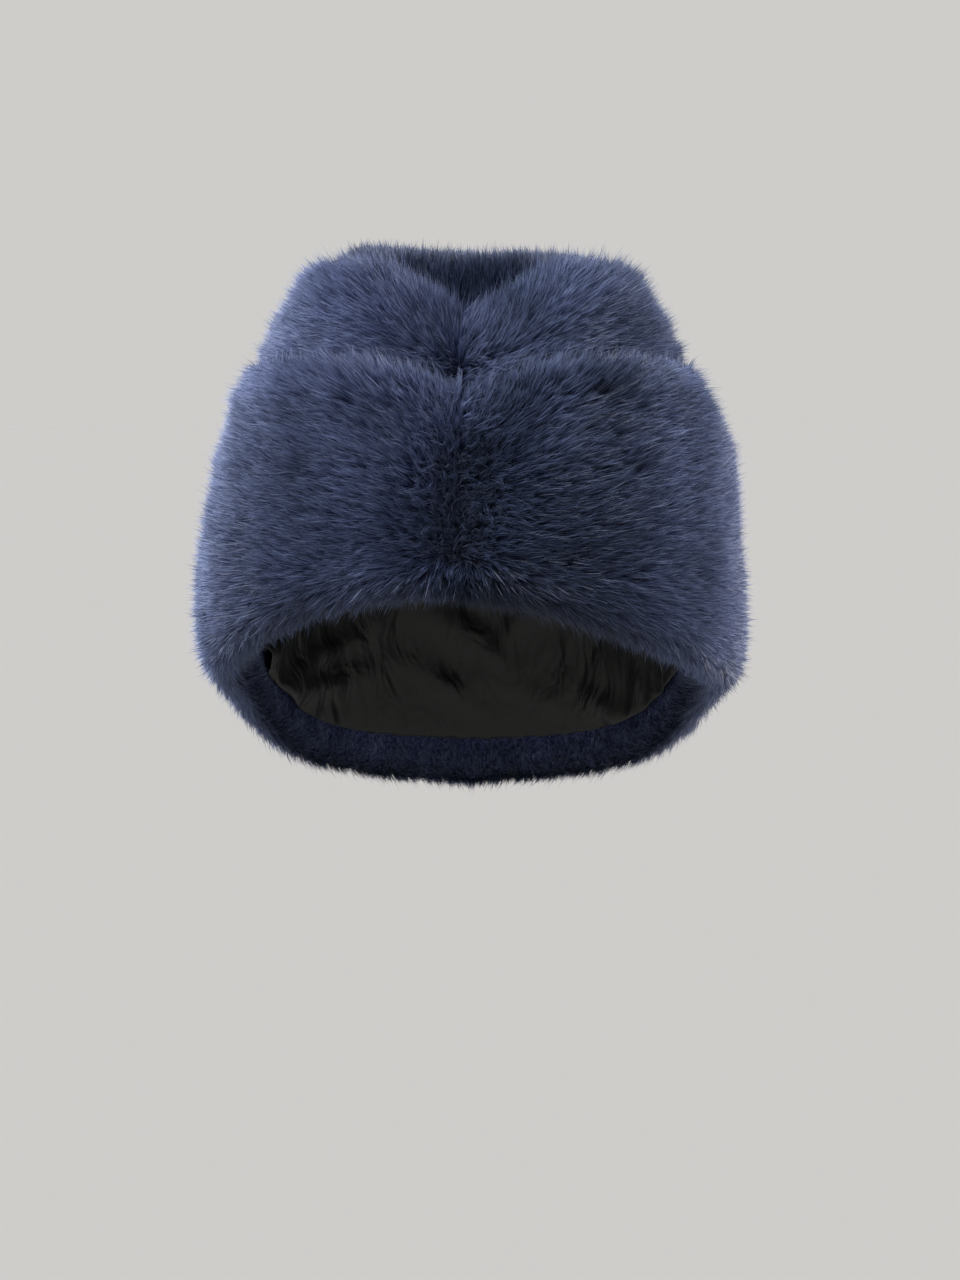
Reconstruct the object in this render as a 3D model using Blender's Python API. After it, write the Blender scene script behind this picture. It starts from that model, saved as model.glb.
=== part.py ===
"""Fur hat: two fur bands and a crown of soft, padded fur, with a satin lining.

Lengths are metres and +Z is up. The origin is where the top of the head touches the lining, on the hat's
middle line, and the front faces -Y. A turn of 0 looks at the front and grows towards +X.
"""

import math

import bmesh
import bpy
import numpy as np

# Overall sizes over the dense fur
WIDTH = 0.241
FRONT_REACH = 0.1185
BACK_REACH = 0.117

# How far the rolled rim hangs below the head seat
FRONT_DROP = 0.096
SIDE_DROP = 0.175
NAPE_DROP = 0.258

# Walls and clearance
WALL = 0.019
HEM = 0.025
STRIP_HEIGHT = 0.025
LINING = 0.0012
GAP = 0.0003

# Lower band: its ridge below the head seat, and the crease behind it
LOWER_RIDGE_FRONT = -0.0105
LOWER_RIDGE_SIDE = -0.018
LOWER_CREASE_FRONT = 0.009
LOWER_CREASE_SIDE = 0.003
LOWER_NOTCH = 0.0125
LOWER_CREASE_DIP = 0.008
LOWER_SQUARENESS = 2.25

# Upper band: its plan at the crease, and its ridge over the head seat
UPPER_WIDTH = 0.171
UPPER_FRONT_REACH = 0.088
UPPER_BACK_REACH = 0.089
UPPER_RIDGE = 0.0207
UPPER_CREASE = 0.004
UPPER_NOTCH = 0.019
UPPER_CREASE_DIP = 0.0182
UPPER_SQUARENESS = 2.2

# Crown: its plan at the crease, and its flat top over the head seat
CROWN_WIDTH = 0.112
CROWN_FRONT_REACH = 0.055
CROWN_BACK_REACH = 0.057
CROWN_TOP = 0.0275

# Front centre: half the width and the sharpness of each V notch, and the seam valley under the lower one
LOWER_NOTCH_HALF_WIDTH = 0.046
LOWER_NOTCH_SHARPNESS = 1.35
UPPER_NOTCH_HALF_WIDTH = 0.044
UPPER_NOTCH_SHARPNESS = 1.05
SEAM_VALLEY = 0.0045
SEAM_HALF_WIDTH = 0.011

# How far round the front height of the ridge and crease reaches: more is wider
FRONT_SPREAD_FACTOR = 1.4

# The rim's arch is highest a little to the wearer's right of the front centre
ARCH_TURN = math.radians(-6)

# Hollow for the head: the depth over which its dome closes
DOME_DEPTH = 0.068
DOME_SQUARENESS = 2.3

# Locks of fur: length in columns of the mesh, width and height, the share sunk into the wall, and their edges
LOCK_COLUMNS = 4
LOCK_WIDTH = 0.021
LOCK_HEIGHT = 0.003
CROWN_LOCK_HEIGHT = 0.0016
LOCK_SINK_SHARE = 0.4
LOCK_ROUNDNESS = 0.5

# Gathers of the lining above its seam
GATHER_DEPTH = 0.0026

# Mesh columns round every piece, so that the faces of a joint run side by side
COLUMNS = 76

# Rim between the front and the side, and between the side and the nape
# turn share of a quarter, drop share
FRONT_RIM = ((0.0, 0.0), (0.17, 0.06), (0.33, 0.19), (0.5, 0.36), (0.67, 0.56), (0.83, 0.77), (1.0, 1.0))
BACK_RIM = ((0.0, 0.0), (0.17, 0.36), (0.33, 0.64), (0.5, 0.825), (0.67, 0.93), (1.0, 1.0))

# Lower band's outside, from the ridge down to the hem
# height share, side share, front share, back share
LOWER_SHAPE = (
    (1.00, 0.725, 0.818, 0.812),
    (0.95, 0.757, 0.866, 0.868),
    (0.88, 0.800, 0.903, 0.915),
    (0.78, 0.850, 0.928, 0.957),
    (0.65, 0.897, 0.958, 0.991),
    (0.50, 0.940, 0.979, 1.000),
    (0.35, 0.974, 0.996, 0.984),
    (0.20, 0.998, 1.000, 0.950),
    (0.08, 1.005, 0.996, 0.915),
    (0.00, 1.000, 0.983, 0.890),
)

# Upper band's outside, from the crease of the lower band over its ridge to the crown's crease
# height share of the ridge over the crease, and how far the outline goes from its base to the crown's crease
UPPER_SHAPE = (
    (0.00, 0.00),
    (0.22, 0.02),
    (0.45, 0.10),
    (0.66, 0.24),
    (0.84, 0.42),
    (0.96, 0.60),
    (1.00, 0.76),
    (0.95, 0.90),
)

# Crown's outside, from its crease to the middle: height share over the crease, reach share
CROWN_SHAPE = (
    (0.42, 0.99),
    (0.72, 0.94),
    (0.89, 0.84),
    (0.97, 0.66),
    (1.00, 0.36),
)

# Depth shares of the dome at the crown's joint, between, and at the upper band's joint
CROWN_JOINT_SHARE = 0.15
UPPER_JOINT_SHARE = 0.46
CROWN_DOME_SHARES = (0.004, 0.05)
UPPER_DOME_SHARES = (0.29,)
LOWER_WALL_SHARES = (0.16, 0.36, 0.66)


def turns():
    """Angles round the hat from the front centre, one for each column of a mesh."""
    return np.arange(COLUMNS) * (2 * math.pi / COLUMNS)


def through(rows, share, column=1):
    """Smooth curve through one column of a table at the given shares of its first column."""
    table = np.array(sorted(rows))
    xs, ys = table[:, 0], table[:, column]
    slopes = np.gradient(ys, xs)
    share = np.clip(share, xs[0], xs[-1])
    i = np.clip(np.searchsorted(xs, share, side="right") - 1, 0, len(xs) - 2)
    step = xs[i + 1] - xs[i]
    u = (share - xs[i]) / step
    start = (1 + 2 * u) * (1 - u) ** 2 * ys[i] + u * (1 - u) ** 2 * step * slopes[i]
    end = u**2 * (3 - 2 * u) * ys[i + 1] + u**2 * (u - 1) * step * slopes[i + 1]
    return start + end


def mix(a, b, share):
    """Value between a and b."""
    return a + (b - a) * share


def ease(share):
    """Share eased at both ends."""
    share = np.clip(share, 0, 1)
    return share * share * (3 - 2 * share)


def reach(turn, side, front, back, squareness):
    """Distance from the middle line to a rounded plan outline, in the direction of each turn."""
    ahead = np.cos(turn)
    along = np.where(ahead > 0, front, back)
    return (np.abs(np.sin(turn) / side) ** squareness + np.abs(ahead / along) ** squareness) ** (-1 / squareness)


def point(turn, distance, height):
    """Points of one ring round the hat."""
    return np.stack([distance * np.sin(turn), -distance * np.cos(turn), height + 0 * turn], axis=-1)


def rim_height(turn):
    """Height of the rim's lowest line."""
    turn = (turn + math.pi) % (2 * math.pi) - math.pi
    turn = np.abs(turn - ARCH_TURN * np.clip(np.cos(turn), 0, 1))
    quarter = turn / (math.pi / 2)
    ahead = mix(FRONT_DROP, SIDE_DROP, through(FRONT_RIM, quarter))
    behind = mix(SIDE_DROP, NAPE_DROP, through(BACK_RIM, quarter - 1))
    return -np.where(quarter < 1, ahead, behind)


def notch(turn, distance, half_width, sharpness):
    """Share of a V notch's depth at the points of a ridge: 1 at the front centre."""
    sideways = np.abs(distance * np.sin(turn))
    share = np.clip(1 - sideways / half_width, 0, 1) ** sharpness
    return np.where(np.cos(turn) > 0, share, 0)


def lower_notch(turn):
    """Share of the lower band's notch."""
    return notch(turn, FRONT_REACH, LOWER_NOTCH_HALF_WIDTH, LOWER_NOTCH_SHARPNESS)


def upper_notch(turn):
    """Share of the upper band's notch."""
    return notch(turn, UPPER_FRONT_REACH, UPPER_NOTCH_HALF_WIDTH, UPPER_NOTCH_SHARPNESS)


def ahead_share(turn):
    """1 across the front, and 0 from the sides back."""
    return ease(np.cos(turn) * FRONT_SPREAD_FACTOR)


def lower_ridge(turn, notched=True):
    """Height of the lower band's ridge."""
    height = mix(LOWER_RIDGE_SIDE, LOWER_RIDGE_FRONT, ahead_share(turn))
    if notched:
        height = height - LOWER_NOTCH * lower_notch(turn)
    return height


def lower_crease(turn):
    """Height of the crease between the bands."""
    depth = mix(LOWER_CREASE_SIDE, LOWER_CREASE_FRONT, ahead_share(turn))
    return lower_ridge(turn, False) - depth - LOWER_CREASE_DIP * lower_notch(turn)


def upper_ridge(turn):
    """Height of the upper band's ridge."""
    return UPPER_RIDGE - UPPER_NOTCH * upper_notch(turn)


def upper_crease(turn):
    """Height of the crease between the upper band and the crown."""
    return UPPER_RIDGE - UPPER_CREASE - UPPER_CREASE_DIP * upper_notch(turn)


def body_sizes(share):
    """Side, front and back reaches of the lower band at a share of its height."""
    side = WIDTH / 2 * through(LOWER_SHAPE, share, 1)
    front = FRONT_REACH * through(LOWER_SHAPE, share, 2)
    back = BACK_REACH * through(LOWER_SHAPE, share, 3)
    return side, front, back


def upper_reach(turn, inset=0.0):
    """Upper band's plan outline at the crease between the bands."""
    sizes = (UPPER_WIDTH / 2 - inset, UPPER_FRONT_REACH - inset, UPPER_BACK_REACH - inset)
    return reach(turn, *sizes, UPPER_SQUARENESS)


def crown_reach(turn, inset=0.0):
    """Crown's plan outline at its crease."""
    sizes = (CROWN_WIDTH / 2 - inset, CROWN_FRONT_REACH - inset, CROWN_BACK_REACH - inset)
    return reach(turn, *sizes, UPPER_SQUARENESS)


def hollow(turn, height, inset=0.0):
    """Ring of the hollow's wall at a height. An inset of 0 is the fur's own face."""
    top = LINING + GAP - inset
    depth = np.clip((top - height) / DOME_DEPTH, 0, 1)
    low = rim_height(turn) + HEM / 2
    share = np.clip((height - low) / (lower_ridge(turn, False) - low), 0, 1)
    dome = (UPPER_WIDTH / 2, UPPER_FRONT_REACH, UPPER_BACK_REACH)
    sizes = [mix(a, b, ease(depth)) - WALL for a, b in zip(dome, body_sizes(share))]
    closing = (1 - (1 - depth) ** DOME_SQUARENESS) ** (1 / DOME_SQUARENESS)
    return point(turn, reach(turn, *sizes, LOWER_SQUARENESS) * closing - inset * ease(depth * 8), height)


def dome_ring(turn, depth, inset=0.0):
    """Ring of the hollow's wall at a share of the dome's depth."""
    return hollow(turn, LINING + GAP - inset - depth * DOME_DEPTH, inset)


def joint_ring(turn, depth):
    """Inner edge of a joint's upper face, clear of the piece below it."""
    return dome_ring(turn, depth - 2 * GAP / DOME_DEPTH)


def wall_ring(turn, share, inset=0.0, clearance=0.0):
    """Ring of the hollow's wall between the bands' joint, 0, and the ledge over the fur strip, 1."""
    high = LINING + GAP - inset - UPPER_JOINT_SHARE * DOME_DEPTH
    ledge = rim_height(turn) + STRIP_HEIGHT + clearance
    return hollow(turn, mix(high, ledge, share), inset)


def outward(grid):
    """Unit normals of rings that run down or outwards over a surface."""
    around = np.roll(grid, -1, axis=1) - np.roll(grid, 1, axis=1)
    along = np.gradient(grid, axis=0)
    normal = np.cross(along, around)
    return normal / np.linalg.norm(normal, axis=2, keepdims=True)


def walked(grid):
    """Distance walked down each column from the first ring."""
    steps = np.linalg.norm(np.diff(grid, axis=0), axis=2)
    return np.concatenate([np.zeros((1, grid.shape[1])), np.cumsum(steps, axis=0)])


def with_locks(grid, height, fade):
    """Raise rows of staggered locks on a grid of rings. They lie back from the front centre on each side."""
    count = grid.shape[1]
    column = np.arange(count)
    column = np.minimum(column, count - column)[None, :]
    across = walked(grid) / LOCK_WIDTH
    row = np.floor(across)
    along = column / LOCK_COLUMNS + 0.5 * (row % 2)
    tip = np.floor(along % 1 * LOCK_COLUMNS + 0.01) / (LOCK_COLUMNS - 1)
    rounded = np.sin(math.pi * (across - row)) ** LOCK_ROUNDNESS
    raised = height * (tip * rounded - LOCK_SINK_SHARE) * fade[:, None]
    return grid + outward(grid) * raised[:, :, None]


def skin(name, grid, closed, colour, roughness, first=None, last=None):
    """Object from a grid of rings, joined into a loop or ended at two points on the middle line."""
    rings, columns, _ = grid.shape
    mesh = bmesh.new()
    verts = [[mesh.verts.new(p) for p in ring] for ring in grid.tolist()]
    if closed:
        verts.append(verts[0])
    for a, b in zip(verts, verts[1:]):
        for i in range(columns):
            j = (i + 1) % columns
            mesh.faces.new((a[i], b[i], b[j], a[j]))
    if not closed:
        for ring, end in ((verts[0], first), (verts[-1], last)):
            middle = mesh.verts.new(end)
            for i in range(columns):
                mesh.faces.new((ring[i], ring[(i + 1) % columns], middle))
    bmesh.ops.recalc_face_normals(mesh, faces=mesh.faces)
    bmesh.ops.triangulate(mesh, faces=mesh.faces, quad_method="SHORT_EDGE")
    data = bpy.data.meshes.new(name)
    mesh.to_mesh(data)
    mesh.free()
    data.shade_smooth()
    data.materials.append(finish(name, colour, roughness))
    piece = bpy.data.objects.new(name, data)
    bpy.context.collection.objects.link(piece)
    return piece


def finish(name, colour, roughness):
    """Plain material of one piece."""
    material = bpy.data.materials.new(name)
    material.use_nodes = True
    shader = material.node_tree.nodes["Principled BSDF"]
    shader.inputs["Base Color"].default_value = (*colour, 1)
    shader.inputs["Roughness"].default_value = roughness
    shader.inputs["Metallic"].default_value = 0
    return material


def lower_band():
    """Tall band: crest and outside down to the rolled hem, then the strip and the wall of the hollow."""
    turn = turns()
    rim = rim_height(turn)
    low = rim + HEM / 2
    ridge = lower_ridge(turn)
    crease = lower_crease(turn)
    sizes = body_sizes(1.0)
    crest = reach(turn, *sizes, LOWER_SQUARENESS)
    base = upper_reach(turn) + GAP
    rings = [point(turn, base, crease), point(turn, mix(base, crest, 0.5), mix(crease, ridge, 0.8))]

    shares = 1 - np.linspace(0, 1, 24) ** 1.15
    for share in shares:
        distance = reach(turn, *body_sizes(share), LOWER_SQUARENESS)
        fold = np.exp(-((distance * np.sin(turn) / SEAM_HALF_WIDTH) ** 2)) * (np.cos(turn) > 0)
        distance = distance - SEAM_VALLEY * fold * ease(share * 2.5)
        rings.append(point(turn, distance, mix(low, ridge, share)))

    side = reach(turn, *body_sizes(0.0), LOWER_SQUARENESS)
    for angle in np.radians((40, 90, 140)):
        rings.append(point(turn, side - HEM / 2 * (1 - math.cos(angle)), low - HEM / 2 * math.sin(angle)))
    grid = np.array(rings)
    fade = np.ones(len(grid))
    fade[:4] = (0, 0.2, 0.6, 0.9)
    fade[-3:] = (0.8, 0.5, 0.2)
    grid = with_locks(grid, LOCK_HEIGHT, fade)

    ledge = rim + STRIP_HEIGHT
    inside = [point(turn, side - HEM, low), point(turn, side - HEM, ledge)]
    inside += [wall_ring(turn, share) for share in (1.0, *reversed(LOWER_WALL_SHARES), 0.0)]
    grid = np.concatenate([grid, np.array(inside)])
    return skin("lower_band", grid, True, (0.048, 0.052, 0.105), 0.85)


def upper_band():
    """Second band: outside over its ridge to the crown's crease, then down the joints and the dome."""
    turn = turns()
    low = lower_crease(turn) + GAP
    high = upper_ridge(turn)
    base = upper_reach(turn)
    crown = crown_reach(turn) + GAP
    rings = [point(turn, mix(base, crown, inward), mix(low, high, up)) for up, inward in UPPER_SHAPE]
    rings.append(point(turn, crown, upper_crease(turn)))
    grid = np.array(rings)
    fade = np.array([0, 0.5, 1, 1, 1, 1, 0.8, 0.3, 0])
    grid = with_locks(grid[::-1], LOCK_HEIGHT, fade[::-1])

    inside = [joint_ring(turn, UPPER_JOINT_SHARE)]
    inside += [dome_ring(turn, depth) for depth in (*UPPER_DOME_SHARES, CROWN_JOINT_SHARE)]
    grid = np.concatenate([grid, np.array(inside)])
    return skin("upper_band", grid, True, (0.046, 0.050, 0.100), 0.85)


def crown_top():
    """Flat-topped crown: outside from the middle to the crease, then the joint and the dome's top."""
    turn = turns()
    low = upper_crease(turn) + GAP
    base = crown_reach(turn)
    rings = [point(turn, base * out, mix(low, CROWN_TOP, up)) for up, out in reversed(CROWN_SHAPE)]
    rings.append(point(turn, base, low))
    fade = np.array([0.1, 0.5, 1, 1, 0.6, 0])
    grid = with_locks(np.array(rings), CROWN_LOCK_HEIGHT, fade)

    inside = [joint_ring(turn, CROWN_JOINT_SHARE)]
    inside += [dome_ring(turn, depth) for depth in reversed(CROWN_DOME_SHARES)]
    grid = np.concatenate([grid, np.array(inside)])
    top = (0, 0, CROWN_TOP)
    under = (0, 0, LINING + GAP)
    return skin("crown_top", grid, False, (0.040, 0.043, 0.085), 0.85, top, under)


def lining():
    """Satin lining: a thin shell inside the fur, gathered above its seam with the fur strip."""
    turn = turns()
    folded = (np.arange(COLUMNS) % 2)[:, None]
    faces = []
    for inset in (GAP, GAP + LINING):
        depths = (*CROWN_DOME_SHARES, CROWN_JOINT_SHARE, *UPPER_DOME_SHARES, UPPER_JOINT_SHARE)
        rings = [dome_ring(turn, depth, inset) for depth in depths]
        for share in (*LOWER_WALL_SHARES, 1.0):
            ring = wall_ring(turn, share, inset, GAP)
            inward = -ring * (1, 1, 0) / np.linalg.norm(ring[:, :2], axis=1, keepdims=True)
            rings.append(ring + inward * folded * GATHER_DEPTH * ease(share * 1.6 - 0.4))
        faces.append(rings)
    grid = np.array(faces[0] + faces[1][::-1])
    return skin("lining", grid, False, (0.012, 0.013, 0.014), 0.4, (0, 0, LINING), (0, 0, 0))


def main():
    """Clear the scene and build the hat."""
    for old in list(bpy.data.objects):
        bpy.data.objects.remove(old, do_unlink=True)
    for build in (lower_band, upper_band, crown_top, lining):
        piece = build()
        print(piece.name, len(piece.data.polygons), "faces")


main()
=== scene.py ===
# %% [markdown]
# # Fur hat
# The hat is tall and soft. Two bands of long, dyed fur drape round it, each with a V notch at the front
# centre, and a flat crown closes the top. Inside, a black satin lining is gathered onto a strip of fur
# that turns in over the rim.
#
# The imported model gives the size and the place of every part. It could be shown as it is, but its locks are
# coarse blocks, so here it only carries the visible pieces: a dark pelt for each fur part, many thousands of
# hairs on the pelts, and a folded lining.

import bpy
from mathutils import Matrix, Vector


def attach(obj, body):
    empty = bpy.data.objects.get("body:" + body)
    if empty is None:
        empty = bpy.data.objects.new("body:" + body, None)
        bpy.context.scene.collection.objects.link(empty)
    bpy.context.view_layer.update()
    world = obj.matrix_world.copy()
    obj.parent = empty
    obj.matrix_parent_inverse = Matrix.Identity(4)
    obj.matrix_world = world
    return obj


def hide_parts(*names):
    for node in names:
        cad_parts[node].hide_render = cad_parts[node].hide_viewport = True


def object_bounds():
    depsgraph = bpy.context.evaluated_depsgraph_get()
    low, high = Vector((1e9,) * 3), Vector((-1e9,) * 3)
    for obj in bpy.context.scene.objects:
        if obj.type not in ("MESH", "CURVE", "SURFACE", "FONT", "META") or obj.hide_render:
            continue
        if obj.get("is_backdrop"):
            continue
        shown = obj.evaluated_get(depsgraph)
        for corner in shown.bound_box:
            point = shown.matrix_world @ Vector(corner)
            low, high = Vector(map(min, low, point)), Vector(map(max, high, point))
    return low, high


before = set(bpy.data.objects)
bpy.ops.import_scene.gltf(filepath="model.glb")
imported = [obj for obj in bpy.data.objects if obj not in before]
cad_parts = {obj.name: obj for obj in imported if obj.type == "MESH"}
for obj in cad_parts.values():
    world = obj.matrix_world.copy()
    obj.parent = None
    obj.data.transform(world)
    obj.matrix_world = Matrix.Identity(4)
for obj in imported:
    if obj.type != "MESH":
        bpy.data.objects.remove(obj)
cad_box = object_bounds()
print("packed model, lowest and highest corner:", [[round(v, 4) for v in corner] for corner in cad_box])

# %% Modules and a fixed seed
import math

import bmesh
import bpy
import numpy as np
from mathutils import Vector
from mathutils.bvhtree import BVHTree
from mathutils.kdtree import KDTree

SEED = 71

# %% [markdown]
# ## Camera
# The hat is seen from the front, a little from above, by a phone's wide lens from about 43 cm. A longer lens
# from further off would flatten the picture: the bulge of the lower band and the steep view over its ridge
# come from the short distance. So the lens and the distance are kept as they were found from the ridges
# and the outline. The camera is made first, because everything else is judged through it.

# %% Camera
CAMERA_PLACE = (0.0035, -0.4267, -0.012)
CAMERA_TILT = 16.5

camera_data = bpy.data.cameras.new("camera")
camera_data.lens = 27.03
camera_data.sensor_width = 36.0
camera_data.clip_start = 0.01
camera = bpy.data.objects.new("camera", camera_data)
bpy.context.scene.collection.objects.link(camera)
camera.location = CAMERA_PLACE
camera.rotation_euler = (math.radians(90 - CAMERA_TILT), 0, 0)
bpy.context.scene.camera = camera
print("camera looks down by", CAMERA_TILT, "degrees from", -CAMERA_PLACE[1], "m in front of the hat's middle")

# %% [markdown]
# ## Small tools
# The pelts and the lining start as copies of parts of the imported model. Those have loose triangles, so a copy
# is merged at once. Operators act on all that is selected, so each one is called on a single piece.

# %% Select one piece and apply its modifiers
def only(piece):
    """Make one piece the only selected one, and the active one."""
    bpy.ops.object.select_all(action="DESELECT")
    piece.select_set(True)
    bpy.context.view_layer.objects.active = piece


def apply_all(piece):
    """Apply every modifier of a piece, in order."""
    only(piece)
    for name in [m.name for m in piece.modifiers]:
        bpy.ops.object.modifier_apply(modifier=name)


def merged_copy(node_name, piece_name):
    """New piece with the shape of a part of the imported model, its loose triangles merged."""
    piece = bpy.data.objects.new(piece_name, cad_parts[node_name].data.copy())
    bpy.context.scene.collection.objects.link(piece)
    piece.data.materials.clear()
    only(piece)
    bpy.ops.object.mode_set(mode="EDIT")
    bpy.ops.mesh.select_all(action="SELECT")
    bpy.ops.mesh.remove_doubles(threshold=1e-5)
    bpy.ops.object.mode_set(mode="OBJECT")
    return piece


def triangles(piece):
    """Number of triangles in a piece."""
    return sum(len(face.vertices) - 2 for face in piece.data.polygons)

# %% Soft steps and bells
def eased(share):
    """Share from 0 to 1, eased at both ends."""
    share = np.clip(share, 0, 1)
    return share * share * (3 - 2 * share)


def bell(value, width):
    """1 at zero, falling off over a width."""
    return np.exp(-((value / width) ** 2))

# %% Nearness to the other parts
LINING_COVERS = 0.0042
JOINT_COVERS = 0.0015


def tree_of(piece):
    """Search tree over the faces of a piece."""
    mesh = piece.data
    return BVHTree.FromPolygons([v.co for v in mesh.vertices], [tuple(f.vertices) for f in mesh.polygons])


node_trees = {name: tree_of(node) for name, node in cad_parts.items()}


def shows(name, place):
    """True where a point on a fur part is neither behind the lining nor in a joint."""
    for other, tree in node_trees.items():
        if other != name:
            reach = LINING_COVERS if other == "lining" else JOINT_COVERS
            if tree.find_nearest(place, reach)[0] is not None:
                return False
    return True

# %% [markdown]
# ## Pelts
# Under the hair is the leather with its short, dense underfur. It is almost black between the tufts, and it
# shows wherever the hair parts. It could be a bumpy texture alone, but the hair needs a real surface to
# stand on, lower than the outline of the fur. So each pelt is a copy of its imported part, smoothed so that
# the coarse locks go, and drawn in where it shows. Where it meets the lining or the next band it stays where
# it is. Soft fur also settles: the photograph shows rounded upper corners, a crown that stands higher on the
# left, and a fuller right side, each by a few millimetres.

# %% Draw in the pelts
HAIR_DEPTH = 0.0048
SMOOTHING = {"lower_band": 2, "upper_band": 1, "crown_top": 1}
CORNER_DROP = 0.009
CROWN_LEAN = 0.004
FULL_SIDE = 0.004


def settled(name, place):
    """How far the fur has settled at a place on one part."""
    x, _, z = place
    if name == "lower_band":
        half_way_up, right_side = bell(z + 0.052, 0.022), eased((x - 0.06) / 0.04)
        return Vector((FULL_SIDE * half_way_up * right_side, 0, 0))
    if name == "upper_band":
        near_top, corner = eased((z + 0.01) / 0.02), eased((abs(x) - 0.056) / 0.02)
        return Vector((0, 0, -CORNER_DROP * near_top * corner))
    near_top, left_side = eased(z / 0.015), bell(x + 0.047, 0.02)
    return Vector((0, 0, CROWN_LEAN * near_top * left_side))


def pelt_from(name, rounds):
    """Pelt of one fur part: smoothed, drawn in and settled where it shows, and subdivided once."""
    piece = merged_copy(name, name + "_pelt")
    mesh = piece.data
    seen = [shows(name, v.co) for v in mesh.vertices]
    mesh.attributes.new("seen", "FLOAT", "POINT").data.foreach_set("value", seen)
    for face in mesh.polygons:
        face.select = False
    for edge in mesh.edges:
        edge.select = False
    for vert in mesh.vertices:
        vert.select = seen[vert.index]
    bpy.ops.object.mode_set(mode="EDIT")
    bpy.ops.mesh.select_mode(type="VERT")
    bpy.ops.mesh.vertices_smooth(factor=0.5, repeat=rounds)
    bpy.ops.transform.shrink_fatten(value=-HAIR_DEPTH)
    bpy.ops.object.mode_set(mode="OBJECT")
    for vert in mesh.vertices:
        if seen[vert.index]:
            vert.co += settled(name, vert.co)
    rounder = piece.modifiers.new("round", "SUBSURF")
    rounder.levels = rounder.render_levels = 1
    apply_all(piece)
    bpy.ops.object.shade_smooth()
    print(piece.name, "has", triangles(piece), "triangles, and", sum(seen), "of its first points show")
    return piece


pelts = {name: pelt_from(name, rounds) for name, rounds in SMOOTHING.items()}

# %% [markdown]
# ## Where hair grows
# A particle system would give hair strands, but strands are no mesh and would be lost with the file. So the
# hair is real geometry: narrow blades, drawn as arrays of points and joined into a few meshes. They stand in
# tufts, because fur never lies evenly: neighbouring hairs lean together and leave dark gaps between tufts.
# First each pelt says which of its faces show, and tufts are spread over those by area. Chance alone leaves
# bald spots, so near neighbours then push each other apart and settle back on the pelt.

# %% Find the faces that carry hair
LEAST_SHOWING = 0.12


def growing_faces(pelt):
    """Triangles of a pelt that carry hair: their corners, normals, how far each corner shows, and areas."""
    mesh = pelt.data
    mesh.calc_loop_triangles()
    corners = np.empty(len(mesh.loop_triangles) * 3, dtype=np.int64)
    mesh.loop_triangles.foreach_get("vertices", corners)
    corners = corners.reshape(-1, 3)
    points = np.empty(len(mesh.vertices) * 3)
    mesh.vertices.foreach_get("co", points)
    points = points.reshape(-1, 3)
    normals = np.empty(len(mesh.vertices) * 3)
    mesh.vertex_normals.foreach_get("vector", normals)
    normals = normals.reshape(-1, 3)
    seen = np.empty(len(mesh.vertices))
    mesh.attributes["seen"].data.foreach_get("value", seen)
    corners = corners[seen[corners].mean(axis=1) > LEAST_SHOWING]
    edges = points[corners[:, 1:]] - points[corners[:, :1]]
    areas = np.linalg.norm(np.cross(edges[:, 0], edges[:, 1]), axis=1) / 2
    print(pelt.name, "grows hair on", round(areas.sum(), 4), "square metres")
    return points[corners], normals[corners], seen[corners], areas


growing = {name: growing_faces(pelt) for name, pelt in pelts.items()}

# %% Spread tufts over a pelt
def unit(vectors):
    """Vectors of length 1."""
    return vectors / np.maximum(np.linalg.norm(vectors, axis=-1, keepdims=True), 1e-9)


def spread(faces, count, density, rng):
    """Seeded tuft places on a pelt, denser where density says so, their normals and how far they show."""
    points, normals, seen, areas = faces
    weights = areas * density(points.mean(axis=1))
    chosen = rng.choice(len(areas), size=count, p=weights / weights.sum())
    a, b = np.sqrt(rng.random(count)), rng.random(count)
    shares = np.stack([1 - a, a * (1 - b), a * b], axis=1)[:, :, None]
    place = (points[chosen] * shares).sum(axis=1)
    corner_numbers = np.arange(len(points) * 3).reshape(-1, 3)
    surface = BVHTree.FromPolygons(points.reshape(-1, 3).tolist(), corner_numbers.tolist())
    reach = 1.15 * math.sqrt(areas.sum() / count)
    for _ in range(3):
        place, chosen = pushed_apart(place, surface, reach)
    edge_a, edge_b = points[chosen, 1] - points[chosen, 0], points[chosen, 2] - points[chosen, 0]
    whole = np.cross(edge_a, edge_b)
    size = np.maximum((whole * whole).sum(axis=1), 1e-24)
    offset = place - points[chosen, 0]
    second = (np.cross(offset, edge_b) * whole).sum(axis=1) / size
    third = (np.cross(edge_a, offset) * whole).sum(axis=1) / size
    shares = np.stack([1 - second - third, second, third], axis=1)[:, :, None]
    return place, unit((normals[chosen] * shares).sum(axis=1)), (seen[chosen] * shares[:, :, 0]).sum(axis=1)


def pushed_apart(place, surface, reach):
    """Places after one push away from their nearest neighbours, and the faces that they settle on."""
    neighbours = KDTree(len(place))
    for index, spot in enumerate(place):
        neighbours.insert(spot, index)
    neighbours.balance()
    near = np.array([[found[1] for found in neighbours.find_n(spot, 6)][1:] for spot in place])
    apart = place[:, None] - place[near]
    gap = np.maximum(np.linalg.norm(apart, axis=2, keepdims=True), 1e-7)
    place = place + 0.35 * reach * (apart / gap * np.clip(1 - gap / reach, 0, 1)).sum(axis=1)
    landed = [surface.find_nearest(spot) for spot in place]
    return np.array([spot[0] for spot in landed]), np.array([spot[2] for spot in landed])

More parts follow.
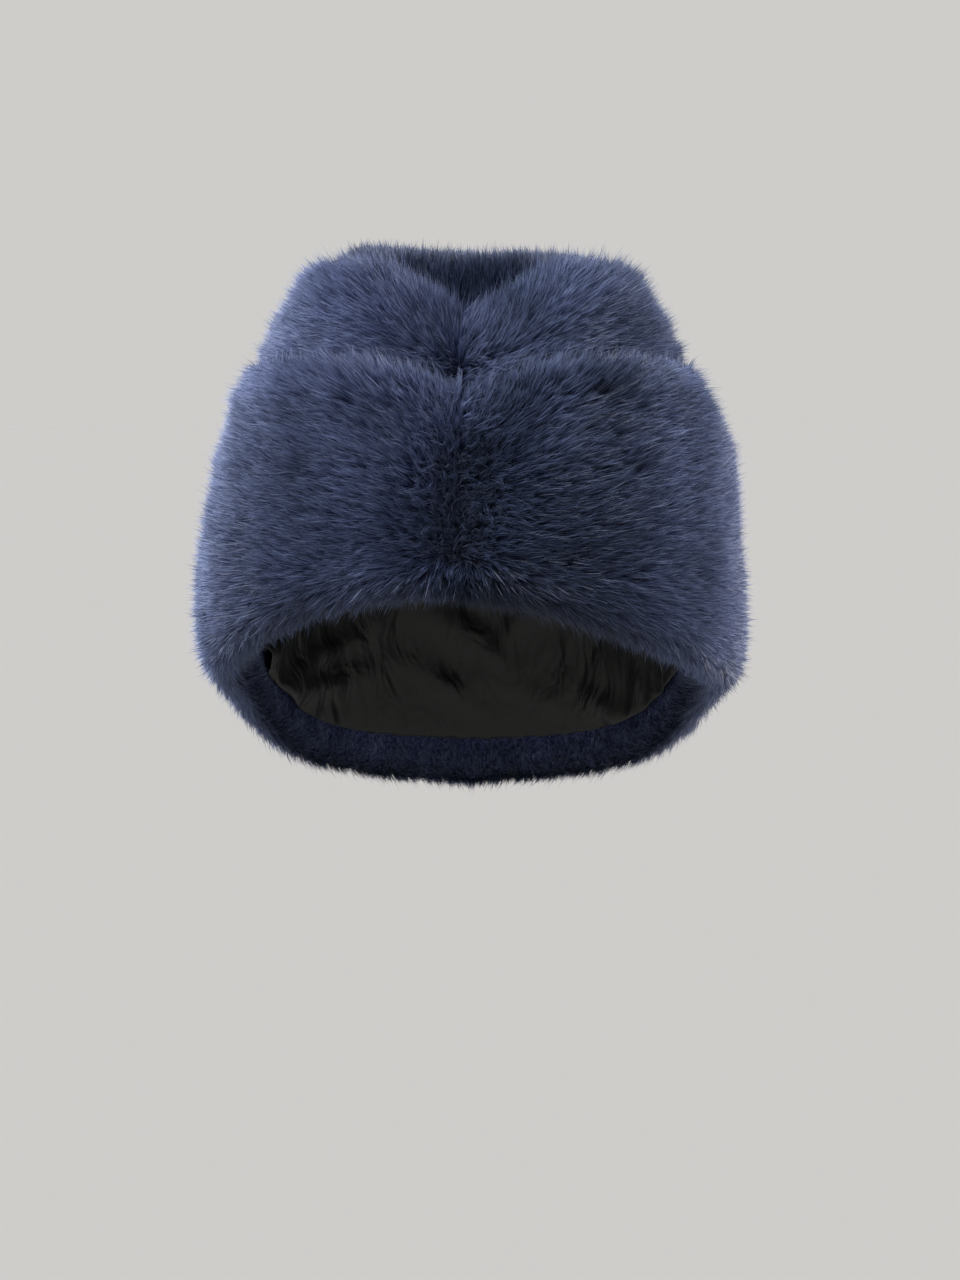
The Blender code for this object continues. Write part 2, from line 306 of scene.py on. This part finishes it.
# %% [markdown]
# ## Which way hair lies
# The nap is what makes this fur look like fur. On the lower band it starts from a dark whorl low on the
# centre line, where the hair points straight at the viewer, and runs round to both sides. It rises a little
# near the ridge, lies level half-way down, and falls away below. At the back it hangs. Along the side crests
# it spills outwards, under the hem it turns in, and on the strip inside it points up. The upper band's nap
# runs round and a little up, and its foot falls over the crease. The crown's runs back. Hair could be combed
# by hand, but a rule of the place on the hat gives the same flow at every density.

# %% Where a place lies on the hat
WHORL = np.array([-0.004, -0.0756])
BAND_RADIUS = 0.115
STRIP_TOP = -0.058


def around(place):
    """Distance round the hat from the front centre, and the level direction away from it."""
    turn = np.arctan2(place[:, 0] - WHORL[0], -place[:, 1])
    side = np.tanh(turn / 0.1)
    away = np.stack([np.cos(turn), np.sin(turn), 0 * turn], axis=1) * side[:, None]
    return turn * BAND_RADIUS, away


def turned(place, normal):
    """Shares of how far the fur faces up, faces down, and faces the middle of the hat."""
    out = (unit(place[:, :2]) * normal[:, :2]).sum(axis=1)
    return eased((normal[:, 2] - 0.25) / 0.5), eased((-normal[:, 2] - 0.1) / 0.7), eased((0.15 - out) / 0.4)


def back_share(across):
    """1 at the back centre, 0 from the sides forwards."""
    return eased((np.abs(across) - 0.315) / 0.045)


def foot_share(place):
    """1 at the foot of the upper band, 0 from half its height up."""
    return 1 - eased((place[:, 2] + 0.024) / 0.018)

# %% Nap of each part
def lower_nap(place, normal):
    """Direction of the hair on the lower band, round the hem and up the strip inside."""
    across, away = around(place)
    up, under, inside = turned(place, normal)
    outwards = unit(place * (1, 1, 0))
    over = up * eased((np.abs(across) - 0.05) / 0.06)
    height = place[:, 2] - WHORL[1]
    beside = np.maximum(np.abs(across), 0.004)
    below = 1.15 * np.minimum(height, 0) / beside
    above = 0.3 * eased(height / 0.055)
    behind = back_share(across)
    tilt = np.clip(np.where(height > 0, above, below), -3.5, 1) + 0.14 - 1.74 * behind - 0.5 * over
    strip = inside * (place[:, 2] < STRIP_TOP)
    level = away * ((1 - 0.75 * behind) * (1 - strip))[:, None]
    level += outwards * (1.1 * over - 0.8 * under)[:, None]
    return level + (tilt * (1 - strip) * (1 - 0.6 * under) + 1.2 * strip)[:, None] * (0, 0, 1)


def upper_nap(place):
    """Direction of the hair on the upper band. At the sides its foot falls over the crease."""
    across, away = around(place)
    behind = back_share(across)
    foot = foot_share(place) * eased((np.abs(across) - 0.05) / 0.06)
    tilt = 0.15 - 0.3 * foot_share(place) - 0.7 * behind - 0.6 * foot
    return away * (1 - 0.75 * behind)[:, None] + tilt[:, None] * (0, 0, 1)


def crown_nap(place):
    """Direction of the hair on the crown."""
    up = 0.6 * np.clip(-place[:, 1] / 0.04, -1, 1)
    return np.stack([0 * up, 1 + 0 * up, up], axis=1)

# %% Slow waves over the fur
waves = np.random.default_rng(SEED)
wave_ways = unit(waves.normal(size=(14, 3))) * waves.uniform(60, 260, (14, 1))
wave_starts = waves.uniform(0, 2 * math.pi, 14)


def drift(place, first, last):
    """Smooth value, mostly within 1 each way, that changes slowly over the fur.

    Waves 0 to 6 bend the nap, and waves 7 to 13 vary the tone.
    """
    swell = np.sin(place @ wave_ways[first:last].T + wave_starts[first:last])
    return swell.sum(axis=1) / math.sqrt(last - first)

# %% [markdown]
# ## Hair
# A tuft holds short hairs and one guard hair that stands out of it. A short hair is a single triangle, broad
# at its hidden root and pointed at its tip. The guard hair is a blade of two triangles, pointed at both ends
# and bent at its widest place, as real guard hairs are. A round tube would need twenty times the faces, and
# at half a millimetre or less nobody could tell. A random twist about its own length lets some hairs catch
# the light and others not, which is what makes real fur sparkle. The hairs carry a flat map whose height
# runs from root to tip and whose width picks the tone, so one material paints them all.

# %% Draw the hairs of one mesh
SHORT_HAIRS = 9
SHORT_HALF_WIDTH = (0.00018, 0.00028)
GUARD_HALF_WIDTH = (0.0001, 0.00014)
TUFT_RADIUS = 0.0013
ROOT_DEPTH = 0.001


def hair_mesh(name, place, normal, nap, length, lift, tone_and_light, stray, rng):
    """Piece of hair tufts. Every argument but the name has one entry for each tuft."""
    tufts = len(place)
    nap = unit(nap - (nap * normal).sum(axis=1, keepdims=True) * normal)
    beside = np.cross(normal, nap)
    yaw = rng.normal(0, 1, tufts) * stray + 0.14 * drift(place, 0, 7)
    nap = nap * np.cos(yaw)[:, None] + beside * np.sin(yaw)[:, None]
    beside = np.cross(normal, nap)
    length = length * rng.uniform(0.86, 1.12, tufts)
    lift = lift + rng.normal(0, 0.1, tufts)
    # Painted shade and highlights come in with the tone; this jitter is the fur's own uneven tone.
    tone_and_light = tone_and_light + rng.normal(0, 0.045, tufts)

    def coat(number, stretch, raised, gather, half_width):
        """Roots, directions, widths and tones of so many hairs in every tuft."""
        def each(values):
            return np.repeat(values, number, axis=0)
        count = tufts * number
        away = rng.random(count) ** 0.5 * TUFT_RADIUS
        angle = rng.uniform(0, 2 * math.pi, count)
        shift = each(nap) * (away * np.cos(angle))[:, None] * 1.3
        shift += each(beside) * (away * np.sin(angle))[:, None]
        low = each(place) + shift - each(normal) * ROOT_DEPTH
        long = (each(length) * rng.uniform(*stretch, count))[:, None]
        drawn = shift * rng.uniform(*gather, count)[:, None] - rng.normal(0, 0.0003, (count, 3))
        rise = each(lift) + raised + rng.normal(0, 0.1, count)
        twist = rng.normal(0, 0.6, count)

        def way(angle):
            return each(nap) * np.cos(angle)[:, None] + each(normal) * np.sin(angle)[:, None]
        flatwise = unit(np.cross(way(rise), each(normal)) + 1e-7)
        width = flatwise * np.cos(twist)[:, None] + np.cross(way(rise), flatwise) * np.sin(twist)[:, None]
        width *= rng.uniform(*half_width, count)[:, None]
        return low, way, rise, long, drawn, width, each(tone_and_light) + rng.normal(0, 0.05, count)

    low, way, rise, long, drawn, width, shade = coat(SHORT_HAIRS, (0.78, 1.06), 0.0, (0.2, 0.7),
                                                     SHORT_HALF_WIDTH)
    short = np.stack([low - width, low + width, low + way(rise) * long - drawn], axis=1)
    low, way, rise, long, drawn, width, guard_shade = coat(1, (1.12, 1.4), 0.15, (0.0, 0.3), GUARD_HALF_WIDTH)
    mid = low + way(rise + 0.3) * long * 0.45 - drawn * 0.4
    tip = mid + way(rise - 0.3) * long * 0.55 - drawn * 0.6
    guard = np.stack([low, mid - width, mid + width, tip], axis=1)
    return blade_piece(name, [(short, shade), (guard, guard_shade)])


def blade_piece(name, coats):
    """Mesh piece from the corners of each hair, with a map from root to tip and by tone."""
    patterns = {3: ([0, 1, 2], [-1, 1, 0], [0.02, 0.02, 0.98]),
                4: ([0, 2, 1, 1, 2, 3], [0, 1, -1, -1, 1, 0], [0.02, 0.45, 0.45, 0.45, 0.45, 0.98])}
    corners, places_on_map, first = [], [], 0
    for verts, tone_and_light in coats:
        order, side, along = patterns[verts.shape[1]]
        corners.append((np.array(order) + first + verts.shape[1] * np.arange(len(verts))[:, None]).ravel())
        across = np.clip(tone_and_light, 0.02, 0.98)[:, None] + np.array(side) * 0.004
        places_on_map.append(np.stack([across, np.broadcast_to(along, across.shape)], axis=2).ravel())
        first += verts.shape[0] * verts.shape[1]
    corners = np.concatenate(corners)
    mesh = bpy.data.meshes.new(name)
    mesh.vertices.add(first)
    mesh.vertices.foreach_set("co", np.concatenate([verts.ravel() for verts, _ in coats]))
    mesh.loops.add(len(corners))
    mesh.loops.foreach_set("vertex_index", corners)
    mesh.polygons.add(len(corners) // 3)
    mesh.polygons.foreach_set("loop_start", np.arange(0, len(corners), 3))
    mesh.update(calc_edges=True)
    mesh.uv_layers.new(name="OFBake").uv.foreach_set("vector", np.concatenate(places_on_map))
    mesh.shade_smooth()
    piece = bpy.data.objects.new(name, mesh)
    bpy.context.scene.collection.objects.link(piece)
    print(name, "has", sum(len(verts) for verts, _ in coats), "hairs and", triangles(piece), "triangles")
    return piece

# %% [markdown]
# ## Hair on the lower band
# This band makes most of the picture, and its hair also rolls over the hem and onto the strip inside. One
# mesh could hold it all, but a mesh of more than 200,000 triangles is awkward to pass on, so its tufts are
# sorted round the hat and shared between four. The front gets the densest hair. Tone follows the photograph,
# with light and shade painted in: painted shade round the whorl, in the seam valley, at the brim below it,
# right of the centre, under the hem and on the strip inside, and painted highlights towards both sides. Along
# the crest the hair stands up and makes a soft, pale ridge, with a painted highlight on its left part and
# painted shade on its right.

# %% Tones of the lower band, with painted shade and highlights
def lower_tone_and_light(place, normal):
    """Tone of the lower band's hair, with painted shade and highlights: each 0.25 up doubles its brightness."""
    across, _ = around(place)
    ahead = place[:, 1] < 0
    up, under, inside = turned(place, normal)
    # Painted shade in the seam valley, round the whorl and at the brim below it.
    valley = across - 0.006
    seam = bell(valley, np.where(valley > 0, 0.05, 0.009)) * ahead * (1 - 0.7 * up)
    whorl_shade = bell(np.hypot(across, place[:, 2] - WHORL[1]), 0.022) * ahead
    brim_shade = bell(place[:, 2] + 0.1, 0.016) * bell(across - 0.01, 0.06) * ahead
    # Painted highlight towards both sides; along the crest, a painted highlight on the left and painted shade
    # on the right.
    flank_highlight = eased((np.abs(across) - 0.05) / 0.09)
    crest_light_and_shade = up * (1 - inside) * (0.17 - 0.28 * eased((place[:, 0] + 0.01) / 0.03))
    # Painted shade right of the front centre, and a painted highlight on the right flank.
    right_front_shade = bell(across - 0.05, 0.03) * eased((place[:, 2] + 0.1) / 0.03)
    lit_side = 1.5 * bell(across - 0.11, 0.04) * (1 - up)
    tone_and_light = 0.54 - 0.25 * seam - 0.14 * whorl_shade - 0.14 * brim_shade + 0.08 * flank_highlight + crest_light_and_shade
    tone_and_light -= 0.09 * (right_front_shade - lit_side) * ahead
    # Painted shade under the hem and on the strip inside; the drift alone is the fur's own uneven tone.
    return tone_and_light - 0.2 * under - 0.1 * inside * (place[:, 2] < STRIP_TOP) + 0.05 * drift(place, 7, 14)

# %% Grow the lower band's hair
TUFTS = {"lower_band": 55000, "upper_band": 12500, "crown_top": 6500}


def denser_at_centre(points):
    """Density that grows towards the front centre."""
    return 1 + 0.5 * bell(points[:, 0], 0.09) * (points[:, 1] < 0)


rng = np.random.default_rng(SEED + 1)
place, normal, seen = spread(growing["lower_band"], TUFTS["lower_band"], denser_at_centre, rng)
across, _ = around(place)
up, _, inside = turned(place, normal)
centre = bell(across, 0.013) * (place[:, 1] < 0)
length = (0.0088 - 0.0013 * centre * (1 - up) + 0.001 * up - 0.002 * inside * (1 - up)) * (0.5 + 0.5 * seen)
lift = 0.62 + 0.6 * centre * (1 - up) + 0.5 * up * (1 - 0.4 * centre)
nap, tone_and_light, stray = lower_nap(place, normal), lower_tone_and_light(place, normal), 0.2 + 0.7 * centre
fields = (place, normal, nap, length, lift, tone_and_light, stray)
quarters = ("hair_back_right", "hair_front_right", "hair_front_left", "hair_back_left")
furs = []
for piece_name, share in zip(quarters, np.array_split(np.argsort(across), len(quarters))):
    furs.append(hair_mesh(piece_name, *(field[share] for field in fields), rng))

# %% [markdown]
# ## Hair on the upper band and the crown
# The upper band's hair stands up along its ridge, so it hides the crease with the crown, and falls long over
# the crease with the lower band. Its tone has painted shade at the front centre, on the inside and towards the
# right, and a painted highlight where it faces up. The crown's hair is shorter, painted darker as shade, and
# rises along the front edge, where the picture shows a soft dark fringe. Each is small enough for a mesh of
# its own.

# %% Grow the upper band's hair
def denser_in_front(points):
    """Density that is half as much again on the front half."""
    return 1 + 0.5 * (points[:, 1] < 0)


rng = np.random.default_rng(SEED + 11)
place, normal, seen = spread(growing["upper_band"], TUFTS["upper_band"], denser_in_front, rng)
across, _ = around(place)
up, _, inside = turned(place, normal)
centre = bell(across, 0.012) * (place[:, 1] < 0)
beside = foot_share(place) * eased((np.abs(across) - 0.07) / 0.06)
length = (0.0086 + 0.0018 * up - 0.0015 * inside * (1 - up) + 0.003 * beside) * (0.5 + 0.5 * seen)
# Painted shade at the front centre, on the inside and towards the right, and a painted highlight where the fur
# faces up; the drift alone is the fur's own uneven tone.
tone_and_light = 0.64 - 0.12 * centre + 0.06 * up * (1 - inside) - 0.15 * inside
tone_and_light += 0.05 * drift(place, 7, 14) - 0.2 * eased((place[:, 0] + 0.015) / 0.05)
lift = 0.6 + 0.4 * centre * (1 - up) + 0.5 * up + 0.45 * beside
nap, stray = upper_nap(place), 0.2 + 0.5 * centre
furs.append(hair_mesh("hair_upper_band", place, normal, nap, length, lift, tone_and_light, stray, rng))

# %% Grow the crown's hair
def even(points):
    """The same density everywhere."""
    return np.ones(len(points))


rng = np.random.default_rng(SEED + 12)
place, normal, seen = spread(growing["crown_top"], TUFTS["crown_top"], even, rng)
# The crown is painted darker than the bands, as shade; the drift alone is the fur's own uneven tone.
tone_and_light = 0.32 + 0.04 * drift(place, 7, 14)
length, lift, stray = 0.004 + 0.0036 * seen, np.full(len(place), 0.62), np.full(len(place), 0.2)
furs.append(hair_mesh("hair_crown", place, normal, crown_nap(place), length, lift, tone_and_light, stray, rng))

# %% [markdown]
# ## Lining
# The lining is thin black satin, sewn as a cap and gathered where it meets the fur strip. A cloth simulation
# could drape it, but the satin is held all round by its seam and lies against the fur, which leaves it little
# room to fall. Its folds are short gathers over the seam, and soft, slack folds higher up. So each fold is a
# smooth ridge along a seeded line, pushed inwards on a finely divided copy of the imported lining. The seam
# itself is tucked outwards, under the fur of the strip.

# %% Divide the lining finely
LONGEST_EDGE = 0.02
SEAM_PARTS = 38

lining = merged_copy("lining", "satin_lining")
first = np.array([v.co for v in lining.data.vertices])
seam_turn = np.arctan2(first[:, 0], -first[:, 1])
bins = np.linspace(-math.pi, math.pi, SEAM_PARTS + 1)
seam_low = np.array([first[(seam_turn >= start) & (seam_turn <= end + 0.01), 2].min()
                     for start, end in zip(bins, bins[1:])])
bpy.ops.object.mode_set(mode="EDIT")
bpy.ops.mesh.select_all(action="SELECT")
bpy.ops.mesh.tris_convert_to_quads()
bpy.ops.mesh.vertices_smooth(factor=0.5, repeat=1)
bpy.ops.mesh.select_mode(type="EDGE")
bpy.ops.mesh.select_all(action="DESELECT")
edit_mesh = bmesh.from_edit_mesh(lining.data)
for edge in edit_mesh.edges:
    edge.select = edge.calc_length() > LONGEST_EDGE
bpy.ops.mesh.subdivide(number_cuts=4, smoothness=0)
bpy.ops.object.mode_set(mode="OBJECT")
rounder = lining.modifiers.new("round", "SUBSURF")
rounder.levels = rounder.render_levels = 2
apply_all(lining)
bpy.ops.object.shade_smooth()
print(lining.name, "is divided into", triangles(lining), "triangles")

# %% Folds of the satin
WALL_RADIUS = 0.086
HALF_ROUND = 0.27
SLACK_FOLDS = 46
SEAM_TUCK = 0.003


def one_fold(along, above, start, slant, reach, width, rise):
    """Soft ridge of satin along a slanted line, on the wall opened out flat."""
    beside = (along - start + HALF_ROUND) % (2 * HALF_ROUND) - HALF_ROUND
    lengthwise = beside * math.cos(slant) + above * math.sin(slant)
    sideways = beside * math.sin(slant) - above * math.cos(slant) + 0.003 * np.sin(lengthwise / 0.014)
    return rise * bell(sideways, width) * bell(lengthwise, reach)


def folds(along, height, low, rng):
    """Height of the satin's folds: gathers over the seam, slack folds above, and the seam tucked out."""
    gathers, slack = 0 * along, 0 * along
    for start in np.arange(-HALF_ROUND, HALF_ROUND, 0.0105) + rng.normal(0, 0.0022, 52):
        gathers = np.maximum(gathers, one_fold(along, height - low, start, math.pi / 2 + rng.normal(0, 0.1),
                                               rng.uniform(0.014, 0.034), rng.uniform(0.0026, 0.0036),
                                               rng.uniform(0.0008, 0.0022)))
    for _ in range(SLACK_FOLDS):
        middle, start = rng.uniform(-0.21, -0.05), rng.uniform(-HALF_ROUND, HALF_ROUND)
        slack = slack + one_fold(along, height - middle, start, rng.normal(0, 0.55), rng.uniform(0.02, 0.05),
                                 rng.uniform(0.005, 0.009), rng.uniform(0.002, 0.0042))
    off_seam, above_gathers = eased((height - low - 0.001) / 0.012), eased((height - low - 0.003) / 0.015)
    return gathers * (0.3 + 0.7 * off_seam) - SEAM_TUCK * (1 - off_seam) + slack * above_gathers

# %% Fold the lining
count = len(lining.data.vertices)
points = np.empty(count * 3)
lining.data.vertices.foreach_get("co", points)
points = points.reshape(-1, 3)
turn = np.arctan2(points[:, 0], -points[:, 1])
low = np.interp(turn, (bins[:-1] + bins[1:]) / 2, seam_low, period=2 * math.pi)
fold = folds(turn * WALL_RADIUS, points[:, 2], low, np.random.default_rng(SEED + 21))
held = eased((-points[:, 2] - 0.012) / 0.03)
inwards = unit(np.stack([-points[:, 0], -points[:, 1], 0 * turn], axis=1))
lining.data.vertices.foreach_set("co", (points + inwards * (fold * held)[:, None]).ravel())
lining.data.update()
print(lining.name, "has folds up to", round(fold.max() * 1000, 1), "mm")

# %% [markdown]
# ## Finishes
# Hair is darkest at the root, painted shade where little light reaches, and palest at the tip. It has a soft
# gloss along its length and a haze at the outline, which sheen gives. A hair shader would light strands, but
# these are blades, so a plain shader with the map's colours is used. The underfur takes the tone of the fur
# above it, with its painted shade and highlights.

# %% Helpers for materials
def ramp(nodes, stops):
    """Colour ramp with smooth steps between its stops."""
    node = nodes.new("ShaderNodeValToRGB")
    node.color_ramp.interpolation = "EASE"
    elements = node.color_ramp.elements
    while len(elements) < len(stops):
        elements.new(0.5)
    for element, (place_on_ramp, colour) in zip(elements, stops):
        element.position = place_on_ramp
        element.color = (*colour, 1)
    return node


def new_material(name, colour, roughness):
    """Material with a plain shader, its nodes and its links."""
    material = bpy.data.materials.new(name)
    material.use_nodes = True
    material.diffuse_color = (*colour, 1)
    tree = material.node_tree
    shader = tree.nodes["Principled BSDF"]
    shader.inputs["Base Color"].default_value = (*colour, 1)
    shader.inputs["Roughness"].default_value = roughness
    return material, tree.nodes, tree.links, shader

# %% Hair colour, with painted shade at the roots
def tone_colour(step):
    """Shade of a tone step from 0, the darkest and bluest, to 4. Each step doubles the brightness."""
    brightness = 2.0 ** (step - 4)
    return brightness * (0.56 + 0.12 * step), brightness * (0.76 + 0.065 * step), brightness


hair_dye_and_painted_light, nodes, links, shader = new_material("dyed_hair_and_painted_light", (0.06, 0.07, 0.13), 0.45)
shader.inputs["Specular IOR Level"].default_value = 0.26
shader.inputs["Sheen Weight"].default_value = 0.15
shader.inputs["Sheen Roughness"].default_value = 0.4
shader.inputs["Sheen Tint"].default_value = (0.7, 0.82, 1.0, 1)
blade_map = nodes.new("ShaderNodeUVMap")
blade_map.uv_map = "OFBake"
split = nodes.new("ShaderNodeSeparateXYZ")
# Painted shade at the root of each hair, paling towards the tip.
root_shade_ramp = ramp(nodes, ((0.0, (0.026, 0.034, 0.08)), (0.45, (0.118, 0.152, 0.36)), (1.0, (0.5, 0.6, 1.0))))
# The map's width carries the tone, with its painted shade and highlights; darker steps are bluer.
tone_ramp = ramp(nodes, [(step / 4, tone_colour(step)) for step in range(5)])
paint = nodes.new("ShaderNodeMix")
paint.data_type = "RGBA"
paint.blend_type = "MULTIPLY"
paint.inputs["Factor"].default_value = 1
links.new(blade_map.outputs["UV"], split.inputs[0])
links.new(split.outputs["Y"], root_shade_ramp.inputs["Fac"])
links.new(split.outputs["X"], tone_ramp.inputs["Fac"])
links.new(root_shade_ramp.outputs["Color"], paint.inputs["A"])
links.new(tone_ramp.outputs["Color"], paint.inputs["B"])
links.new(paint.outputs["Result"], shader.inputs["Base Color"])

# %% Tones of the pelts, with the fur's painted shade and highlights
# The crown's pelt is painted darker, as shade, like its hair.
PELT_TONES_AND_SHADE = {"upper_band": 0.45, "crown_top": 0.24}


def pelt_tones_and_light(name, pelt):
    """Keep the fur's tone, with its painted shade and highlights, on the pelt below it, so that gaps in the
    hair look like deeper fur.
    """
    mesh = pelt.data
    mesh.attributes.remove(mesh.attributes["seen"])
    if name == "lower_band":
        points, normals = np.empty(len(mesh.vertices) * 3), np.empty(len(mesh.vertices) * 3)
        mesh.vertices.foreach_get("co", points)
        mesh.vertex_normals.foreach_get("vector", normals)
        tones_and_light = lower_tone_and_light(points.reshape(-1, 3), normals.reshape(-1, 3))
    else:
        tones_and_light = np.full(len(mesh.vertices), PELT_TONES_AND_SHADE[name])
    tones_and_light = np.clip(2.0 ** (4 * tones_and_light - 4), 0, 1)
    mesh.attributes.new("fur_tone_and_light", "FLOAT", "POINT").data.foreach_set("value", tones_and_light)
    print(name, "pelt tones from", round(tones_and_light.min(), 2), "to", round(tones_and_light.max(), 2))


for name, pelt in pelts.items():
    pelt_tones_and_light(name, pelt)

# %% Pelt colour, with the fur's painted shade and highlights
underfur_and_painted_light, nodes, links, shader = new_material("underfur", (0.012, 0.016, 0.038), 0.95)
shader.inputs["Specular IOR Level"].default_value = 0.1
fur_tone_and_light = nodes.new("ShaderNodeAttribute")
fur_tone_and_light.attribute_name = "fur_tone_and_light"
toned = nodes.new("ShaderNodeVectorMath")
toned.operation = "SCALE"
place_node = nodes.new("ShaderNodeTexCoord")
grain = nodes.new("ShaderNodeTexNoise")
grain.inputs["Scale"].default_value = 700
grain.inputs["Detail"].default_value = 3
shade = ramp(nodes, ((0.35, (0.03, 0.04, 0.1)), (0.65, (0.13, 0.165, 0.38))))
bump = nodes.new("ShaderNodeBump")
bump.inputs["Strength"].default_value = 0.6
bump.inputs["Distance"].default_value = 0.001
links.new(place_node.outputs["Object"], grain.inputs["Vector"])
links.new(grain.outputs["Fac"], shade.inputs["Fac"])
links.new(shade.outputs["Color"], toned.inputs[0])
links.new(fur_tone_and_light.outputs["Fac"], toned.inputs["Scale"])
links.new(toned.outputs["Vector"], shader.inputs["Base Color"])
links.new(grain.outputs["Fac"], bump.inputs["Height"])
links.new(bump.outputs["Normal"], shader.inputs["Normal"])

# %% [markdown]
# ## Satin
# Satin is woven so that it shines. Black satin shows almost nothing but that shine, broken up by its folds.
# The large folds are in the mesh. Slack wrinkles and the weave are bumps, because both are too fine for it.

# %% Satin finish
satin_finish, nodes, links, shader = new_material("black_satin", (0.0035, 0.0038, 0.0037), 0.46)
shader.inputs["Specular IOR Level"].default_value = 0.3
shader.inputs["Sheen Weight"].default_value = 0.03
shader.inputs["Sheen Tint"].default_value = (0.8, 1.0, 0.9, 1)
place_node = nodes.new("ShaderNodeTexCoord")
weave = nodes.new("ShaderNodeTexNoise")
weave.inputs["Scale"].default_value = 900
bump = nodes.new("ShaderNodeBump")
bump.inputs["Strength"].default_value = 0.15
bump.inputs["Distance"].default_value = 0.0003
links.new(place_node.outputs["Object"], weave.inputs["Vector"])
links.new(weave.outputs["Fac"], bump.inputs["Height"])
stretch = nodes.new("ShaderNodeMapping")
stretch.inputs["Scale"].default_value = (1, 1, 0.45)
slack = nodes.new("ShaderNodeTexNoise")
slack.inputs["Scale"].default_value = 50
slack.inputs["Detail"].default_value = 2.5
slack.inputs["Distortion"].default_value = 1.2
wrinkles = nodes.new("ShaderNodeBump")
wrinkles.inputs["Strength"].default_value = 0.5
wrinkles.inputs["Distance"].default_value = 0.008
links.new(place_node.outputs["Object"], stretch.inputs["Vector"])
links.new(stretch.outputs["Vector"], slack.inputs["Vector"])
links.new(slack.outputs["Fac"], wrinkles.inputs["Height"])
links.new(bump.outputs["Normal"], wrinkles.inputs["Normal"])
links.new(wrinkles.outputs["Normal"], shader.inputs["Normal"])

for name, pelt in pelts.items():
    pelt.data.materials.append(underfur_and_painted_light)
    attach(pelt, "root")
    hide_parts(name)
for piece in furs:
    piece.data.materials.append(hair_dye_and_painted_light)
    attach(piece, "root")
lining.data.materials.append(satin_finish)
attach(lining, "root")
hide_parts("lining")
print("triangles in all:", sum(triangles(piece) for piece in (lining, *pelts.values(), *furs)))

# %% [markdown]
# ## Studio
# The hat hangs free in a plain, pale studio. A floor that curves up into a wall would catch the light
# unevenly, so the floor is a very wide disc, painted so that in this light it is as bright as the sky. Then
# its far edge hardly shows, whichever way the camera looks. It lies deep, so that the hat's shadow on it is
# faint and out of the picture.

# %% Floor
FLOOR_HEIGHT = -2.2
MIDDLE_RADIUS = 3
WIDENING = 12

bpy.ops.object.select_all(action="DESELECT")
bpy.ops.mesh.primitive_circle_add(vertices=96, radius=MIDDLE_RADIUS, fill_type="NGON",
                                  location=(0, 0, FLOOR_HEIGHT))
studio = bpy.context.object
studio.name = studio.data.name = "studio_floor"
bpy.ops.object.mode_set(mode="EDIT")
bpy.ops.mesh.select_mode(type="EDGE")
bpy.ops.mesh.select_all(action="DESELECT")
bpy.ops.mesh.select_non_manifold()
bpy.ops.mesh.extrude_edges_move()
bpy.ops.transform.resize(value=(WIDENING, WIDENING, 1))
bpy.ops.object.mode_set(mode="OBJECT")
bpy.ops.object.transform_apply(location=True, rotation=False, scale=False)
studio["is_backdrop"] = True
floor_finish, nodes, links, shader = new_material("pale_floor", (0.2644, 0.2623, 0.2625), 0.95)
shader.inputs["Specular IOR Level"].default_value = 0.0
studio.data.materials.append(floor_finish)
print("studio floor is", round(studio.dimensions.x, 1), "m wide")

# %% [markdown]
# ## Light
# The light is soft and comes mostly from above, the front and the left. Two low lights lift the edges of the
# fur, cooler on the left and warmer on the right. Lamps close by would burn out the floor below them, so all
# three are wide suns. The sky fills the rest.

# %% Suns and sky
SKY_STRENGTH = 0.62


def sun(name, comes_from, strength, width, colour):
    """Soft sunlight from a direction. Its width is the angle that the source covers, in degrees."""
    data = bpy.data.lights.new(name, "SUN")
    data.energy, data.angle, data.color = strength, math.radians(width), colour
    piece = bpy.data.objects.new(name, data)
    bpy.context.scene.collection.objects.link(piece)
    piece.location = comes_from
    piece.rotation_euler = Vector(comes_from).to_track_quat("Z", "Y").to_euler()
    return piece


sun("key", (-0.75, -0.35, 1.25), 5.0, 30, (1.0, 0.99, 0.97))
sun("left_edge", (-1.2, 0.15, 0.2), 3.0, 30, (0.88, 0.95, 1.0))
sun("right_edge", (1.2, 0.2, 0.2), 5.0, 28, (1.0, 0.93, 0.83))
world = bpy.data.worlds.new("sky")
world.use_nodes = True
background = world.node_tree.nodes["Background"]
background.inputs["Color"].default_value = (1.0, 0.982, 0.955, 1)
background.inputs["Strength"].default_value = SKY_STRENGTH
bpy.context.scene.world = world
bpy.context.scene.view_settings.view_transform = "Standard"
print("three suns and a sky of strength", SKY_STRENGTH)

# %% Sizes and the last check
visual_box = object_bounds()
for word, hair_tip, packed in zip(("lowest", "highest"), visual_box, cad_box):
    print(word, "corner stands out by", [round((a - b) * 1000, 1) for a, b in zip(hair_tip, packed)], "mm")
